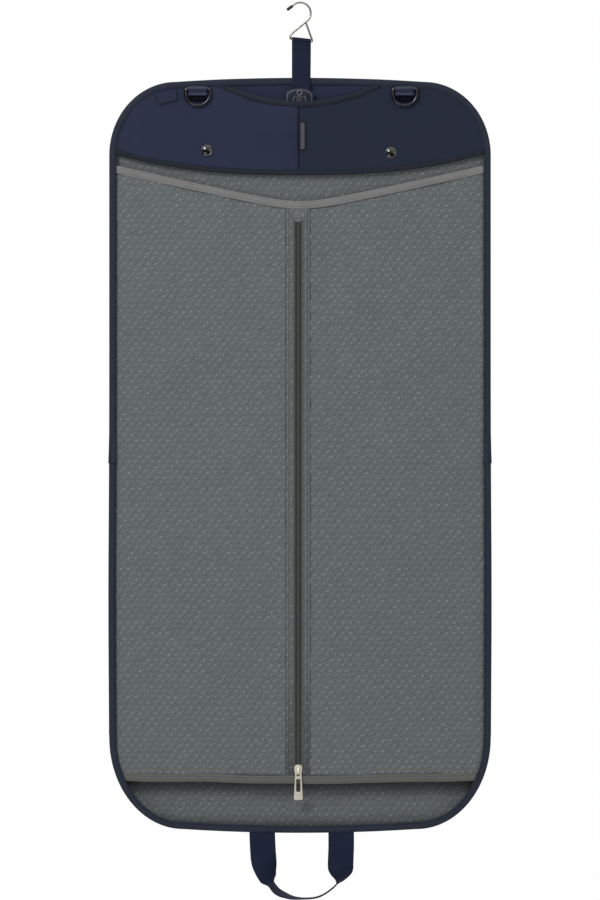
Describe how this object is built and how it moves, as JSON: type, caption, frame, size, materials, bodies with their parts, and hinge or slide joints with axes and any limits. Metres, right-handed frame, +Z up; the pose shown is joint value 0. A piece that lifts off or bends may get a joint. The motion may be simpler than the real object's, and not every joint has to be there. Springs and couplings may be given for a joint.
{
  "type": "garment bag",
  "caption": "Hanging fabric garment sleeve with a wire hook, zipped lined front, hook pocket, D-rings and a bottom carry handle; folds in half.",
  "frame": {"origin": "inside top of the hook's bend, where a rail carries it", "axes": "+Z up along the hanging bag, +X to the right seen from the front, -Y towards the zipped front, +Y towards the plain back"},
  "size_m": [0.556, 0.0417, 1.3099],
  "materials": {
    "navy_nylon": "matt plain-weave nylon",
    "navy_binding": "stitched grosgrain binding",
    "navy_webbing": "ribbed webbing",
    "grey_lining": "thin patterned nylon lining",
    "taupe_tape": "woven tape with two rows of stitching",
    "zip_coil": "nylon coil",
    "pale_gold_metal": "polished pale gold plating",
    "steel_wire": "satin nickel plating",
    "gunmetal": "polished gunmetal plating",
    "chrome_snap": "polished dome",
    "dark_plastic": "glossy moulded plastic",
    "label_patch": "blank smooth patch"
  },
  "bodies": {
    "upper_half": {"back_panel_upper": "navy_nylon", "back_lining_upper": "grey_lining", "edge_binding_upper": "navy_binding", "side_gusset_upper": "navy_nylon", "yoke_left_panel": "navy_nylon", "yoke_right_panel": "navy_nylon", "yoke_lower_binding": "navy_binding", "pocket_mouth_binding": "navy_binding", "pocket_back_panel": "navy_nylon", "top_stiffener": "dark_plastic", "side_label": "label_patch", "curtain_top_tape": "taupe_tape", "curtain_left_upper": "grey_lining", "curtain_right_upper": "grey_lining", "zip_band_left_upper": "grey_lining", "zip_band_right_upper": "grey_lining", "zip_chain_left_upper": "zip_coil", "zip_chain_right_upper": "zip_coil", "zip_top_stop": "zip_coil", "hanger_bracket": "dark_plastic", "hook_strap_root": "navy_webbing", "d_ring_tab_left": "navy_webbing", "d_ring_tab_right": "navy_webbing", "snap_cap_left": "chrome_snap", "snap_cap_right": "chrome_snap", "snap_back_left": "steel_wire", "snap_back_right": "steel_wire", "side_loop": "navy_webbing"},
    "lower_half": {"back_panel_lower": "navy_nylon", "back_lining_lower": "grey_lining", "edge_binding_lower": "navy_binding", "side_gusset_lower": "navy_nylon", "curtain_bottom_tape": "taupe_tape", "curtain_left_lower": "grey_lining", "curtain_right_lower": "grey_lining", "zip_band_left_lower": "grey_lining", "zip_band_right_lower": "grey_lining", "zip_chain_left_lower": "zip_coil", "zip_chain_right_lower": "zip_coil"},
    "zip_slider": {"zip_slider": "pale_gold_metal"},
    "zip_puller": {"zip_puller": "pale_gold_metal"},
    "hanger_latch": {"hanger_latch": "dark_plastic"},
    "hook_strap": {"hook_strap": "navy_webbing"},
    "hook": {"hook_wire": "steel_wire", "hook_tip_sleeve": "dark_plastic"},
    "d_ring_left": {"d_ring_left": "gunmetal"},
    "d_ring_right": {"d_ring_right": "gunmetal"},
    "handle": {"handle": "navy_webbing"}
  },
  "joints": [
    {"name": "bag_fold", "type": "hinge", "parent": "upper_half", "child": "lower_half", "pos_m": [0, -0.022, -0.665], "axis": [1, 0, 0], "range_deg": [-180, 0]},
    {"name": "zip_travel", "type": "slide", "parent": "lower_half", "child": "zip_slider", "axis": [0, 0, 1], "range_m": [0, 0.79]},
    {"name": "puller_swing", "type": "hinge", "parent": "zip_slider", "child": "zip_puller", "pos_m": [-0.0025, -0.0034, -1.12], "axis": [-1, 0, 0], "range_deg": [0, 150]},
    {"name": "latch_slide", "type": "slide", "parent": "upper_half", "child": "hanger_latch", "axis": [0, 0, 1], "range_m": [-0.006, 0]},
    {"name": "hook_strap_fold", "type": "hinge", "parent": "upper_half", "child": "hook_strap", "pos_m": [0, -0.0015, -0.121], "axis": [1, 0, 0], "range_deg": [0, 125]},
    {"name": "hook_swing", "type": "hinge", "parent": "hook_strap", "child": "hook", "pos_m": [0.00145, 0, -0.05346], "axis": [-0.9935, 0, 0.1138], "range_deg": [-90, 90]},
    {"name": "d_ring_left_swing", "type": "hinge", "parent": "upper_half", "child": "d_ring_left", "pos_m": [-0.149, -0.0062, -0.1245], "axis": [-1, 0, 0], "range_deg": [0, 150]},
    {"name": "d_ring_right_swing", "type": "hinge", "parent": "upper_half", "child": "d_ring_right", "pos_m": [0.1525, -0.0062, -0.1245], "axis": [-1, 0, 0], "range_deg": [0, 150]},
    {"name": "handle_swing", "type": "hinge", "parent": "lower_half", "child": "handle", "pos_m": [0, 0.0002, -1.2102], "axis": [-1, 0, 0], "range_deg": [-90, 90]}
  ]
}
